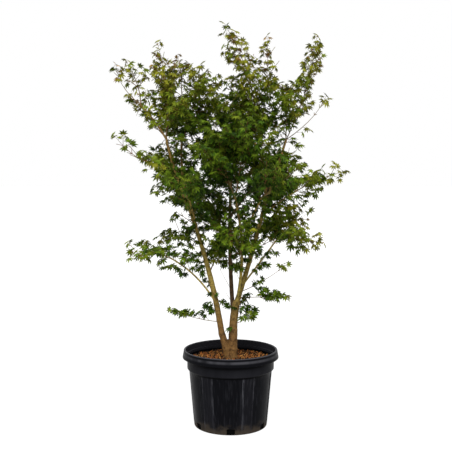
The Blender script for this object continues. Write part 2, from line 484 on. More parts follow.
# Leafy twigs of their own: the stem or bough, and for each twig the share of its length and the way.
SIDE_TWIGS = (
    ("left_stem",
     (0.27, 0.07, -0.02, 0.03), (0.22, 0.055, 0.03, 0.045), (0.2, -0.085, -0.03, 0.035),
     (0.25, -0.08, 0.01, 0.015), (0.33, -0.02, -0.08, 0.03), (0.4, -0.06, 0.05, 0.05),
     (0.68, -0.12, -0.04, 0), (0.74, -0.15, -0.01, 0.02)),
    ("right_stem", (0.75, -0.06, -0.06, 0.03), (0.95, 0.05, 0.07, 0.03), (0.05, -0.03, -0.04, 0.015)),
    ("front_stem", (0.08, 0.06, -0.05, 0.02), (0.4, -0.07, -0.04, -0.03)),
    ("centre_stem",
     (0.2, -0.07, 0.03, 0.05), (0.32, 0.06, 0.06, 0.04), (0.4, -0.08, -0.06, -0.02),
     (0.8, -0.12, -0.08, 0.04)),
    ("low_left_bough", (0.62, -0.01, 0.02, 0.11), (0.8, 0.03, -0.01, 0.1), (0.92, -0.03, 0.03, 0.08)),
    ("left_outer_bough", (0.22, -0.19, -0.02, 0.05), (0.3, -0.13, -0.03, 0.01)),
    ("left_wing_bough", (0.8, -0.04, -0.02, 0.09), (0.95, -0.05, 0.03, 0.07)),
    ("right_wing_bough", (0.8, 0.11, -0.02, -0.01), (1.0, 0.11, 0.03, -0.03)),
    ("right_wing", (0.3, 0.09, -0.02, -0.03)),
    ("right_outer_bough", (0.85, -0.07, -0.06, 0.06), (0.97, -0.06, -0.04, 0.07)),
    ("lower_right_wing", (0.3, 0.08, -0.03, -0.05), (0.6, 0.09, 0, -0.04)),
    ("leader",
     (0.95, -0.09, -0.01, 0.04), (0.86, -0.11, -0.02, 0.03), (0.74, -0.11, -0.03, 0.07),
     (0.55, -0.18, -0.02, 0.01), (0.45, -0.17, -0.06, 0.03), (0.5, -0.15, 0.03, 0.07),
     (0.42, -0.2, -0.03, -0.02), (0.33, -0.21, -0.05, 0.01)),
    ("upper_centre_left", (0.62, 0.14, -0.03, 0.02), (0.75, 0.12, 0.01, 0.02)),
    ("low_right", (0.55, 0.055, -0.02, 0.055), (0.85, 0.06, 0.01, 0.04)),
    ("low_left", (0.25, -0.05, -0.01, 0.065), (0.45, -0.06, -0.02, 0.055), (0.7, -0.06, 0.02, 0.04)),
    ("lower_left_wing", (0.2, -0.06, -0.01, 0.075), (0.5, -0.06, 0.02, 0.065)),
    ("right_low", (0.6, 0.06, -0.01, 0.06), (0.85, 0.07, 0, 0.045)),
    ("left_wing", (0.6, -0.06, -0.01, 0.04), (1.0, -0.05, 0, 0.055)),
    ("left_wing_bough", (0.7, -0.05, 0.02, 0.08), (0.88, -0.04, -0.03, 0.08), (1.0, -0.02, -0.02, 0.085)),
    ("lower_left_inner", (0.95, -0.11, 0, 0), (0.75, -0.1, -0.03, -0.03), (0.85, -0.06, 0.02, 0.045)),
    ("lower_left_wing",
     (0.4, -0.04, -0.02, 0.08), (0.05, -0.05, 0, 0.08), (0.55, -0.06, -0.03, -0.055),
     (0.35, -0.07, 0, -0.05), (0.15, -0.035, -0.03, -0.06)),
    ("low_left_bough",
     (0.98, -0.055, -0.03, -0.025), (0.85, -0.1, 0, -0.05), (0.75, -0.095, -0.04, -0.03),
     (0.6, -0.07, -0.05, -0.015)),
    ("left_stem",
     (0.62, -0.12, -0.04, 0.03), (0.56, -0.11, 0.03, 0.05), (0.5, -0.09, -0.03, 0.05),
     (0.7, 0.04, -0.06, 0.06), (0.42, 0.08, -0.03, 0.03), (0.36, 0.06, 0.03, 0.035),
     (0.16, -0.075, 0, 0.05)),
    ("centre_stem", (0.3, -0.08, -0.04, 0.02), (0.34, -0.065, 0.04, 0.03)),
    ("front_left", (0.75, -0.12, 0.04, -0.06), (0.5, -0.12, 0.05, -0.02)),
    ("left_inner_bough",
     (0.25, 0.11, 0.02, 0.06), (0.38, 0.1, 0, 0.06), (0.55, 0.075, -0.02, 0.06),
     (0.7, 0.085, 0.02, 0.035)),
    ("far_left", (1.0, -0.03, 0, 0.06)),
    ("upper_left_mid",
     (1.0, -0.02, 0, 0.055), (0.85, 0.05, 0, 0.07), (0.7, 0.065, -0.02, 0.07), (0.4, 0.035, 0, 0.05)),
    ("upper_left_tall", (0.6, -0.09, 0, 0.1), (0.45, -0.075, -0.02, 0.05), (1.0, -0.01, 0, 0.06)),
    ("far_left_bough", (0.7, 0.035, 0, 0.06), (0.5, 0.025, 0, 0.065)),
    ("upper_left_inner", (1.0, 0, 0, 0.06), (0.9, 0.055, 0, 0.05)),
    ("upper_centre_left", (1.0, 0.005, 0, 0.06), (0.9, 0.055, 0, 0.04), (0.85, 0.135, -0.02, 0.055)),
    ("centre_upper", (1.0, 0.02, -0.02, 0.07), (0.95, -0.02, 0, 0.09)),
    ("back_upper", (1.0, -0.085, 0, 0.06)),
    ("leader",
     (1.0, -0.045, 0, 0.015), (1.0, 0.04, 0, 0.02), (0.92, -0.065, 0, 0), (0.8, -0.125, 0, 0.02),
     (0.6, -0.085, 0, 0.025)),
    ("right_leader", (0.9, -0.065, 0, 0.005), (1.0, -0.025, 0, 0.05), (0.45, 0.045, 0, 0.03)),
    ("upper_right", (0.78, -0.04, 0, 0.06), (0.25, -0.055, 0, 0.02)),
    ("right_spire",
     (0.6, -0.06, 0, 0.04), (0.75, -0.055, 0, 0.035), (0.85, -0.05, 0, 0.035), (1.0, 0.035, 0, 0.025)),
    ("right_inner_bough", (1.0, 0.065, 0, 0.04)),
    ("right_outer_bough",
     (0.95, -0.055, 0, 0.01), (0.85, 0.085, 0, -0.01), (0.96, 0.105, -0.02, -0.03),
     (1.0, 0.085, 0, -0.02)),
    ("right_shoot", (0.2, 0.065, 0, -0.005), (0.35, 0.065, 0, -0.02), (0.95, 0.055, 0, 0.045)),
    ("right_wing_bough",
     (0.6, 0.05, 0, -0.03), (0.75, 0.065, -0.02, -0.035), (0.85, 0.085, -0.02, -0.06),
     (0.95, 0.075, -0.02, -0.035)),
    ("right_wing", (0.2, 0.075, 0, -0.02), (0.38, 0.075, -0.02, -0.03)),
    ("lower_right_shoulder", (0.9, 0.045, 0, 0.06)),
    ("lower_right_wing",
     (0.25, 0.05, -0.02, -0.05), (0.5, 0.06, 0.02, -0.045), (0.8, 0.055, -0.02, -0.05),
     (1.0, 0.05, 0, 0.01)),
    ("low_right_bough", (0.5, 0.075, -0.02, -0.02)),
    ("right_low", (0.3, 0.055, -0.01, -0.015), (0.4, 0.035, 0, 0.04)),
    ("right_stem", (0.6, 0.095, 0, 0.01), (0.75, 0.115, -0.02, 0.02), (0.9, 0.065, -0.02, 0.02)),
    ("low_right_wing", (0.65, 0.055, 0, 0.03), (0.8, 0.055, 0, 0.02)),
    ("low_left", (0.1, -0.055, -0.01, 0), (0.35, -0.05, 0, 0.06), (0.6, -0.035, -0.01, 0.05)),
    ("back_left_bough", (0.9, 0.035, -0.03, 0.09), (0.72, 0.045, -0.04, 0.1)),
    ("centre_stem", (0.84, -0.13, -0.05, 0.03), (0.9, -0.14, 0.03, 0.04), (0.95, -0.13, -0.06, 0.02)),
    ("left_wing_bough", (0.55, -0.02, 0, 0.1), (0.78, 0.02, 0.02, 0.095)),
    ("left_wing", (0.15, -0.03, 0, 0.075), (0.38, -0.025, 0.02, 0.065)),
    ("left_shoulder", (0.45, -0.05, 0, 0.045), (0.25, -0.03, 0, 0.06)),
    ("front_stem", (0.62, -0.05, -0.03, 0.06), (0.78, 0.06, 0.04, 0.05)),
    ("front_right_bough", (0.45, -0.05, 0, 0.07), (0.75, 0.04, 0.04, 0.06)),
    ("right_upper_stem", (0.6, -0.05, 0.05, 0.06), (0.8, -0.06, 0.04, 0.05)),
    ("upper_left_tall", (0.7, -0.075, 0, 0.1), (0.58, -0.085, 0.02, 0.1)),
    ("upper_left_inner", (0.95, -0.01, 0, 0.065), (0.85, 0.045, 0, 0.07)),
    ("left_shoulder", (0.5, -0.055, 0, -0.03), (0.32, -0.06, 0, -0.015)),
    ("far_left", (1.0, -0.035, 0, 0.045)),
    ("centre_upper", (1.0, 0.012, 0, 0.085), (0.92, -0.025, 0, 0.1)),
    ("leader", (0.78, -0.06, 0, 0.03)),
    ("upper_right", (0.5, -0.055, 0, 0.03)),
    ("right_spire", (0.6, -0.055, 0, 0.065), (0.7, -0.05, 0, 0.05), (0.92, 0.03, 0, 0.035)),
    ("right_wing_bough", (0.84, 0.01, -0.02, -0.06), (0.92, 0.06, 0, -0.07)),
    ("right_wing",
     (0.1, 0.04, 0, -0.105), (0.2, 0.03, 0, -0.085), (0.32, 0.045, 0, -0.095), (0.45, 0.03, 0, -0.065),
     (0.58, 0.02, 0, -0.06)),
    ("lower_right_shoulder", (0.9, 0.055, 0, 0.06), (1.0, 0.055, 0, 0.03)),
    ("lower_right_wing",
     (0.12, 0.03, 0, -0.07), (0.35, 0.02, -0.02, -0.08), (0.6, 0.03, 0, -0.07), (0.82, 0.02, 0, -0.06)),
    ("low_right_wing", (0.15, 0.035, 0, 0.035), (0.06, 0.045, 0, -0.025)),
    ("right_low", (0.28, 0.03, 0, 0.05)),
    ("low_right", (0.5, 0.02, 0, 0.04)),
    ("low_left", (0.75, -0.02, 0, 0.05), (0.45, -0.02, 0, 0.06)),
    ("left_wing_bough", (0.42, -0.03, 0, 0.11), (0.66, -0.01, 0, 0.095)),
    ("lower_left_wing", (0.75, -0.03, 0, -0.045)),
    ("centre_stem", (0.99, -0.13, 0, 0)),
    ("back_left", (0.25, 0.05, -0.03, 0.045)),
    ("left_inner_bough", (0.62, 0.085, 0, 0.01)),
    ("centre_stem", (0.8, 0.06, -0.04, 0.05)),
    ("front_stem", (0.95, -0.06, 0, 0.04)),
    ("right_stem", (0.3, -0.04, -0.02, 0.03)),
    ("centre_front", (0.26, -0.095, 0.05, 0.015), (0.4, -0.085, 0.06, -0.045), (0.5, -0.095, 0.08, -0.065)),
    ("right_spire", (0.5, -0.05, 0, 0.06), (0.82, -0.04, 0, 0.05)),
    ("centre_front", (0.33, -0.135, 0.03, -0.01), (0.28, -0.145, 0, 0.03)),
    ("centre_stem", (0.96, -0.155, -0.03, -0.02)),
    ("back_left_bough", (1.0, 0.02, -0.02, 0.085)),
    ("back_left", (0.12, 0.04, -0.02, 0.07)),
    ("low_right", (0.75, 0.025, 0, 0.06), (0.9, 0.03, 0, 0.06)),
    ("lower_left_wing",
     (0.52, -0.02, 0, 0.07), (0.7, -0.03, 0, 0.065), (0.6, -0.035, 0, -0.06), (0.86, -0.03, 0, -0.05)),
    ("low_left_bough", (0.72, -0.02, 0, 0.075), (0.76, -0.045, 0, -0.05)),
    ("lower_left_inner", (0.3, -0.01, -0.02, -0.06), (0.5, -0.015, -0.02, -0.06)),
    ("lower_right_shoulder", (0.95, 0.07, 0, 0.07)),
    ("right_shoulder", (0.75, 0, 0, 0.07)),
    ("front_right_bough", (0.95, -0.055, 0, 0.02)),
    ("lower_right_shoulder", (0.8, 0.1, 0, 0.09), (0.98, 0.1, 0, 0)),
    ("lower_right_wing", (0.05, 0.05, 0, -0.095), (0.45, 0.035, -0.02, -0.095), (0.7, 0.035, 0, -0.085)),
    ("low_right_bough", (0.8, 0.045, 0, -0.03)),
    ("right_wing_bough", (0.7, 0.11, 0, -0.06), (0.98, 0.08, 0, -0.06)),
)

# Gaps in the crown, where it is seen through from the front: place across, height, and half sizes.
GAPS = (
    (-0.59, 1.475, 0.05, 0.022), (-0.515, 1.412, 0.038, 0.045), (-0.425, 1.318, 0.048, 0.022),
    (-0.385, 1.515, 0.045, 0.045), (-0.455, 1.57, 0.03, 0.018), (-0.53, 1.655, 0.03, 0.026),
    (-0.612, 1.835, 0.032, 0.024), (-0.56, 1.755, 0.022, 0.03), (-0.315, 1.945, 0.05, 0.036),
    (-0.49, 1.88, 0.016, 0.024), (-0.272, 1.138, 0.04, 0.022), (-0.345, 1.065, 0.034, 0.026),
    (-0.41, 1.03, 0.03, 0.014), (-0.24, 1.11, 0.03, 0.02), (-0.285, 1.06, 0.03, 0.03),
    (-0.32, 1.215, 0.03, 0.014), (-0.375, 1.038, 0.04, 0.018), (-0.14, 1.063, 0.032, 0.013),
    (-0.095, 1.015, 0.042, 0.018), (-0.29, 0.87, 0.036, 0.02), (-0.215, 0.845, 0.032, 0.022),
    (-0.55, 0.885, 0.02, 0.026), (-0.59, 0.905, 0.02, 0.024), (-0.565, 0.918, 0.014, 0.012),
    (-0.265, 1.74, 0.03, 0.022), (-0.435, 1.78, 0.02, 0.02), (-0.075, 1.555, 0.036, 0.02),
    (0.238, 1.95, 0.032, 0.036), (0.25, 1.885, 0.032, 0.032), (0.115, 1.96, 0.03, 0.034),
    (0.442, 1.79, 0.022, 0.04), (0.437, 1.74, 0.024, 0.036), (0.455, 1.65, 0.04, 0.036),
    (0.368, 1.605, 0.032, 0.02), (0.365, 1.386, 0.032, 0.016), (0.34, 1.32, 0.032, 0.024),
    (0.302, 1.45, 0.026, 0.026), (0.432, 1.05, 0.028, 0.044), (0.39, 1.1, 0.032, 0.016),
    (0.2, 0.955, 0.048, 0.026), (0.27, 0.945, 0.042, 0.018), (0.125, 0.86, 0.02, 0.042),
    (0.232, 0.805, 0.036, 0.032), (0.2, 0.648, 0.046, 0.015), (0.165, 0.6, 0.022, 0.022),
    (0.085, 0.545, 0.05, 0.018), (0.15, 0.56, 0.032, 0.022), (-0.05, 0.795, 0.025, 0.03),
    (-0.03, 0.735, 0.026, 0.018), (-0.105, 0.537, 0.022, 0.016), (-0.02, 0.565, 0.013, 0.022),
    (-0.215, 0.565, 0.034, 0.013), (-0.03, 0.77, 0.022, 0.022),
)

# Thin bare twigs low on the stems, in the same order.
BARE_TWIGS = (
    ("centre_stem", (0.19, -0.062, -0.01, 0.115)),
    ("centre_stem", (0.11, -0.036, -0.02, 0.06)),
    ("front_stem", (0.22, -0.03, -0.02, 0.07)),
    ("right_stem", (0.22, 0.07, 0, 0.048)),
    ("low_right_bough", (0.15, 0.11, -0.03, 0.13)),
    ("left_stem", (0.24, -0.06, 0.01, 0.16)),
)

# Limbs by their bark, and those that show through the front of the crown as the main stems do.
MAIN_STEMS = ("left_stem", "right_stem", "right_upper_stem")
DARK_STEMS = ("centre_stem", "back_left_bough", "back_right_bough")
SHOWN_BOUGHS = (
    *("left_outer_bough", "left_inner_bough", "right_outer_bough", "right_inner_bough"),
    *("right_wing_bough", "front_stem", "centre_stem"),
)
SHOWN_MARGIN = 0.010
SHOWN_SHARE = 0.60


# Materials.


class Value:
    """A number or colour in a material's node tree. Python's operators build Math nodes on it."""

    def __init__(self, look, socket):
        self.look = look
        self.socket = socket

    def math(self, operation, first, second):
        return self.look.node("ShaderNodeMath", {0: first, 1: second}, operation=operation)

    def __add__(self, other):
        return self.math("ADD", self, other)

    def __sub__(self, other):
        return self.math("SUBTRACT", self, other)

    def __rsub__(self, other):
        return self.math("SUBTRACT", other, self)

    def __mul__(self, other):
        return self.math("MULTIPLY", self, other)

    __radd__ = __add__
    __rmul__ = __mul__


class Look:
    """A material: its shader, and the nodes that feed it."""

    def __init__(self, name, colour, roughness, **constants):
        self.material = bpy.data.materials.new(name)
        self.material.use_nodes = True
        self.material.diffuse_color = (*colour, 1)
        self.tree = self.material.node_tree
        self.shader = self.tree.nodes["Principled BSDF"]
        self.colour = (*colour, 1)
        self.set("Base Color", self.colour)
        self.set("Roughness", roughness)
        for socket, value in constants.items():
            self.set(socket.replace("_", " "), value)

    def set(self, socket, value):
        """Give one of the shader's sockets a constant or a value that changes over the surface."""
        if isinstance(value, Value):
            self.tree.links.new(value.socket, self.shader.inputs[socket])
        else:
            self.shader.inputs[socket].default_value = value

    def node(self, kind, inputs, output=0, **settings):
        """Add a node of this type, with its settings first and then its sockets' values or links."""
        made = self.tree.nodes.new(kind)
        for name, value in settings.items():
            setattr(made, name, value)
        for key, value in inputs.items():
            if isinstance(value, Value):
                self.tree.links.new(value.socket, made.inputs[key])
            else:
                made.inputs[key].default_value = value
        return Value(self, made.outputs[output])

    def place(self):
        """Object coordinates."""
        return self.node("ShaderNodeTexCoord", {}, "Object")

    def part(self, axis):
        """The place along one axis."""
        return self.node("ShaderNodeSeparateXYZ", {0: self.place()}, axis)

    def noise(self, size, stretch=(1, 1, 1), detail=3.0, roughness=0.55):
        """Noise from 0 to 1 in patches of about this size, drawn out along the axes with a larger number."""
        scale = tuple(1 / amount for amount in stretch)
        place = self.node("ShaderNodeMapping", {"Vector": self.place(), "Scale": scale})
        inputs = {"Vector": place, "Scale": 1 / size, "Detail": detail, "Roughness": roughness}
        return self.node("ShaderNodeTexNoise", inputs)

    def ramp(self, value, low, high):
        """0 where the value is below low, 1 above high, and smooth between."""
        inputs = {"Value": value, "From Min": low, "From Max": high}
        return self.node("ShaderNodeMapRange", inputs, interpolation_type="SMOOTHSTEP", clamp=True)

    def patches(self, low, high, *noise, **more):
        """Noise with its values below low at 0 and above high at 1."""
        return self.ramp(self.noise(*noise, **more), low, high)

    def mix(self, share, first, second, blend="MIX"):
        """Two colours mixed: the first where the share is 0."""
        inputs = {0: share, 6: first, 7: second}
        return self.node("ShaderNodeMix", inputs, 2, data_type="RGBA", blend_type=blend)

    def toned(self, amount):
        """The look's own colour, lighter or darker."""
        return (*(channel * amount for channel in self.colour[:3]), 1)

    def bump(self, height, distance, strength=1.0):
        inputs = {"Height": height, "Distance": distance, "Strength": strength}
        self.set("Normal", self.node("ShaderNodeBump", inputs))


def rgb(red, green, blue):
    """An opaque colour."""
    return (red, green, blue, 1)


def plastic_look():
    """Satin black moulding, scuffed grey on its ribs and its rim, and dusty towards the foot."""
    look = Look("black_plastic", (0.0023, 0.0024, 0.0032), 0.40, Specular_IOR_Level=0.02)
    grey = rgb(0.020, 0.020, 0.024)
    pale = rgb(0.070, 0.070, 0.078)
    black = rgb(0.0008, 0.0008, 0.0010)
    across = look.part("X")
    back = look.part("Y")
    height = look.part("Z")
    radius = across.math("SQRT", across * across + back * back, 0)

    # The zones of the moulding.
    body = look.ramp(height, BAND_FOOT + 0.002, BAND_FOOT - 0.004)
    skirt = look.ramp(height, RIM_FOOT - 0.004, RIM_FOOT + 0.002)
    within_band = look.ramp(radius, BAND_RADIUS - 0.0012, BAND_RADIUS - 0.0026)
    within_rim = look.ramp(radius, MOUTH_RADIUS + 0.006, MOUTH_RADIUS + 0.003)
    above_soil = look.ramp(height, BAND_FOOT + BAND_STEP, BAND_FOOT + 0.020)
    inside = (skirt * within_rim + (1 - skirt) * within_band) * above_soil
    outside = 1 - inside

    # Wear: along the flutes' ribs, down the panels, on the rim's edge and its middle.
    turn = across.math("ARCTAN2", across, 0 - back) - POT_TURN
    from_flute = turn.math("PINGPONG", turn, math.pi / FLUTES)
    rib = 1 - look.ramp(from_flute.math("ABSOLUTE", from_flute - PANEL_HALF_ANGLE, 0), 0.008, 0.035)
    ridge = look.ramp(from_flute, PANEL_HALF_ANGLE - 0.02, PANEL_HALF_ANGLE + 0.03)
    streaks = look.patches(0.46, 0.72, 0.011, (0.8, 0.8, 9), 3)
    worn = look.noise(0.05, detail=3) * 0.5 + 0.3
    patches = look.patches(0.35, 0.65, 0.09, (1, 1, 6), 2)
    band = (1 - body) * (1 - skirt) * (patches * 0.16 + 0.16)
    scuffs = body * (rib * 0.30 + ridge * 0.12 + streaks * 0.26) + outside * band + inside * 0.60
    colour = look.mix(scuffs, look.colour, grey)
    edge = look.ramp(height, POT_HEIGHT - 0.0045, POT_HEIGHT - 0.0020)
    above_middle = look.ramp(height, POT_HEIGHT - 0.010, POT_HEIGHT - 0.017)
    middle = look.ramp(height, POT_HEIGHT - 0.030, POT_HEIGHT - 0.020) * above_middle * outside
    sheen = body * rib * streaks * 0.38 + edge * worn * 0.75 + middle * (patches * 0.36 + 0.08)
    colour = look.mix(sheen, colour, pale)

    # Dark lines under the band and under the rim's skirt.
    below_band = look.ramp(height, BAND_FOOT + 0.002, BAND_FOOT)
    under_band = look.ramp(height, BAND_FOOT - 0.012, BAND_FOOT - 0.006) * below_band
    under_rim = look.ramp(height, RIM_FOOT - 0.022, RIM_FOOT - 0.011) * (1 - skirt) * outside
    colour = look.mix(under_band * 0.9 + under_rim * 0.8, colour, black)

    # Dust at the foot, and dark drain holes.
    splashes = look.noise(0.045, (1, 1, 0.6), 5) * look.ramp(height, 0.11, 0.0)
    dust = splashes + look.ramp(height, 0.028, 0.008) * 0.10
    specks = look.patches(0.60, 0.75, 0.004, detail=2)
    dusty = look.ramp(dust + specks * 0.06, 0.22, 0.60)
    colour = look.mix(dusty * 0.55, colour, rgb(0.044, 0.034, 0.024))
    hole = look.ramp(height, 0.038, 0.035) * look.ramp(radius, BASE_RADIUS - 0.0036, BASE_RADIUS - 0.0056)
    look.set("Base Color", look.mix(hole, colour, black))
    look.set("Roughness", look.noise(0.05, detail=2) * 0.16 + streaks * 0.10 + dusty * 0.22 + 0.27)
    look.bump(look.noise(0.0011, detail=2) + look.noise(0.060, detail=2) * 2.0, 0.0002, 0.6)
    return look.material


def soil_look():
    """Dark moist soil, black where it shows through the drain holes."""
    look = Look("moist_soil", (0.010, 0.006, 0.004), 0.95, Specular_IOR_Level=0.05)
    crumbs = look.noise(0.004, detail=5)
    lit = look.ramp(look.part("Z"), 0.04, 0.08)
    colour = look.mix(look.ramp(crumbs, 0.4, 0.7), look.colour, rgb(0.030, 0.015, 0.008))
    look.set("Base Color", look.mix(lit, rgb(0.0006, 0.0005, 0.0004), colour))
    look.bump(crumbs, 0.003)
    return look.material


def chip_look(name, colour, edge):
    """Bark chips: fibrous, with paler broken edges."""
    look = Look(name, colour, 0.85, Specular_IOR_Level=0.15)
    fibres = look.noise(0.0022, (4, 1, 1), 4)
    look.set("Base Color", look.mix(look.ramp(fibres, 0.42, 0.72), look.colour, rgb(*edge)))
    look.bump(fibres, 0.0008)
    return look.material


def bark_look(name, foot, crown, low, high):
    """Young bark: one colour at the foot, another in the crown, mottled dark, with rings and pale flecks."""
    look = Look(name, foot, 0.75, Specular_IOR_Level=0.15)
    streaks = look.noise(0.005, (1, 1, 6), 4)
    rings = look.noise(0.011, (8, 8, 0.40), 3)
    mottles = look.noise(0.013, (1, 1, 1.6), 4, 0.65)
    flecks = look.noise(0.0045, (1.6, 1.6, 0.7), 2)
    climbed = look.ramp(look.part("Z") + (mottles - 0.5) * 0.3, low, high)
    colour = look.mix(climbed, look.colour, rgb(*crown))
    darker = look.mix(1.0, colour, rgb(0.26, 0.20, 0.16), "MULTIPLY")
    paler = look.mix(1.0, colour, rgb(1.9, 1.8, 1.7), "MULTIPLY")
    colour = look.mix(look.ramp(flecks, 0.54, 0.66) * 0.75, colour, paler)
    colour = look.mix(look.ramp(mottles, 0.50, 0.62) * 0.75, colour, darker)
    colour = look.mix(look.ramp(streaks, 0.54, 0.70) * 0.50, colour, darker)
    colour = look.mix(look.ramp(rings, 0.58, 0.66) * 0.65, colour, darker)
    look.set("Base Color", colour)
    look.set("Roughness", streaks * 0.25 + 0.58)
    look.bump(streaks + mottles + rings * 0.7 + look.noise(0.0016, detail=2) * 0.25, 0.0012)
    return look.material


def twig_look(name, colour, second):
    """Young wood in one colour, mottled with a second one."""
    look = Look(name, colour, 0.60, Specular_IOR_Level=0.10)
    look.set("Base Color", look.mix(look.patches(0.40, 0.62, 0.035), look.colour, rgb(*second)))
    return look.material


def leaf_look(name, colour):
    """One leaf colour, lighter and darker from leaf to leaf, and less so where it is light."""
    look = Look(name, colour, 0.52, Specular_IOR_Level=0.05)
    tone = look.noise(0.020, detail=2)
    spread = DARK_LEAF_SPREAD if name in DARK_LEAVES else LIGHT_LEAF_SPREAD
    shades = look.toned(1 - spread), look.toned(1 + spread)
    look.set("Base Color", look.mix(look.ramp(tone, 0.42, 0.58), *shades))
    look.set("Roughness", tone * 0.20 + 0.42)
    return look.material


# Modelling by hand: operators on the selected piece.


def select(*pieces):
    """Select only these pieces, with the first one active."""
    bpy.ops.object.select_all(action="DESELECT")
    for piece in pieces:
        piece.select_set(True)
    bpy.context.view_layer.objects.active = pieces[0]


def edit(obj):
    """Select a piece and enter edit mode."""
    select(obj)
    bpy.ops.object.mode_set(mode="EDIT")


def settle(obj):
    """Apply the object's place, turn and size to its mesh."""
    select(obj)
    bpy.ops.object.transform_apply(location=True, rotation=True, scale=True)
    return obj


def named(name):
    """Name the piece that was added last."""
    obj = bpy.context.active_object
    obj.name = obj.data.name = name
    return obj


def start_ring(name, sides, radius, place, turn=(0, 0, 0)):
    """A filled circle in edit mode, all selected, ready to be extruded."""
    bpy.ops.mesh.primitive_circle_add(
        vertices=sides, radius=radius, fill_type="NGON", location=place, rotation=turn
    )
    obj = named(name)
    bpy.ops.object.mode_set(mode="EDIT")
    bpy.ops.mesh.select_mode(type="VERT")
    bpy.ops.mesh.select_all(action="SELECT")
    return obj


def next_ring(step, grow, centre):
    """Extrude the selected face by a step and resize it about its centre."""
    bpy.ops.mesh.extrude_region_move(TRANSFORM_OT_translate={"value": step})
    bpy.ops.transform.resize(value=grow, center_override=centre)


def close_up():
    """Turn all faces outwards and leave edit mode."""
    bpy.ops.mesh.select_all(action="SELECT")
    bpy.ops.mesh.normals_make_consistent(inside=False)
    bpy.ops.object.mode_set(mode="OBJECT")


def turned(name, profile, sides):
    """A solid of revolution: a disc at the profile's first (radius, height), extruded to its last."""
    radius, height = profile[0]
    obj = start_ring(name, sides, radius, (0, 0, height))
    for wider, higher in profile[1:]:
        grow = wider / radius
        next_ring((0, 0, higher - height), (grow, grow, 1), (0, 0, higher))
        radius, height = wider, higher
    close_up()
    return settle(obj)


def mark_where(obj, test):
    """In edit mode, select only the vertices whose place passes the test."""
    bpy.ops.mesh.select_all(action="DESELECT")
    bpy.ops.object.mode_set(mode="OBJECT")
    for vert in obj.data.vertices:
        vert.select = test(vert.co)
    bpy.ops.object.mode_set(mode="EDIT")


def apply_modifier(obj, kind, **settings):
    """Add a modifier with these settings and apply it."""
    select(obj)
    modifier = obj.modifiers.new(kind.lower(), kind)
    for name, value in settings.items():
        setattr(modifier, name, value)
    bpy.ops.object.modifier_apply(modifier=modifier.name)


def shade(obj, angle):
    """Shade smooth, with edges sharper than this angle left sharp."""
    select(obj)
    bpy.ops.object.shade_smooth_by_angle(angle=angle)


def joined(name, pieces):
    """Join the pieces into one with this name."""
    select(*pieces)
    bpy.ops.object.join()
    return named(name)


def placed(name, data, place=(0, 0, 0), turn=(0, 0, 0)):
    """A new object in the scene that holds this mesh, light or camera."""
    obj = bpy.data.objects.new(name, data)
    obj.location = place
    obj.rotation_euler = turn
    bpy.context.scene.collection.objects.link(obj)
    return obj


def dress(obj, material, nodes):
    """Give a piece its material, its body, its slot in the record and the solids that it stands for."""
    obj.data.materials.clear()
    obj.data.materials.append(material)
    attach(obj, BODY)
    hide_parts(*nodes)


class Heap:
    """Vertices and faces gathered for one joined mesh of many small things."""

    def __init__(self):
        self.points = []
        self.faces = []
        self.count = 0

    def add(self, points, faces):
        self.points.append(points)
        self.faces.append(faces + self.count)
        self.count += len(points)

    def build(self, name):
        mesh = bpy.data.meshes.new(name)
        points = np.concatenate(self.points).tolist()
        mesh.from_pydata(points, [], np.concatenate(self.faces).tolist())
        mesh.update()
        return placed(name, mesh)


# The pot.


def arc(centre, radius, start, end, steps):
    """Points of (radius, height) round an arc between two angles in degrees: 0 is outwards, 90 up."""
    angles = [math.radians(start + (end - start) * step / steps) for step in range(steps + 1)]
    across, height = centre
    return [(across + radius * math.cos(angle), height + radius * math.sin(angle)) for angle in angles]


def wall_radius(height):
    """Radius of the outer wall below the band."""
    return BASE_RADIUS + (BODY_RADIUS - BASE_RADIUS) * min(height / BAND_FOOT, 1)


def pot_profile():
    """The moulding's outline, from the inner floor over the rim to the underside."""
    lining = WALL + PANEL_DEPTH
    rim_top = POT_HEIGHT - RIM_ROUNDING
    inside = [
        (wall_radius(FLOOR_THICKNESS) - lining, FLOOR_THICKNESS),
        (BODY_RADIUS - lining, BAND_FOOT),
        (BAND_RADIUS - WALL, BAND_FOOT + BAND_STEP),
        (MOUTH_RADIUS - WALL, RIM_FOOT + RIM_ROUNDING),
    ]
    lip = arc((MOUTH_RADIUS + RIM_ROUNDING, rim_top), RIM_ROUNDING, 180, 90, ARC_STEPS)
    lip += arc((RIM_TOP_RADIUS - RIM_ROUNDING, rim_top), RIM_ROUNDING, 90, 10, ARC_STEPS)
    skirt_foot = RIM_FOOT + SKIRT_WALL / 2
    out, down = SKIRT_KNEE
    skirt = [
        (RIM_TOP_RADIUS + out * (RIM_RADIUS - RIM_TOP_RADIUS), POT_HEIGHT - down * RIM_DEPTH),
        (RIM_RADIUS - SKIRT_EDGE[0], skirt_foot + SKIRT_EDGE[1]),
    ]
    skirt += arc((RIM_RADIUS - SKIRT_WALL / 2, skirt_foot), SKIRT_WALL / 2, 0, -180, ARC_STEPS)
    radii = (RIM_RADIUS - SKIRT_WALL * 1.6, BAND_RADIUS + SKIRT_WALL, BAND_RADIUS)
    under = [(radius, RIM_FOOT + height) for radius, height in zip(radii, UNDERCUTS)]
    band = [
        (BAND_RADIUS - BAND_CURVE[0], BAND_FOOT + BAND_STEP),
        (BAND_RADIUS - BAND_CURVE[1], BAND_FOOT + BAND_STEP * 0.4),
        (BODY_RADIUS + BAND_CURVE[2], BAND_FOOT),
    ]
    top = BAND_FOOT - BAND_STEP * 0.5
    heights = [top + (FOOT_CURVE - BAND_FOOT) * ring / WALL_RINGS for ring in range(WALL_RINGS)]
    wall = [(wall_radius(height), height) for height in heights]
    foot = arc((BASE_RADIUS - FOOT_CURVE, FOOT_CURVE), FOOT_CURVE, 0, -90, FOOT_STEPS)
    return inside + lip + skirt + under + band + wall + foot


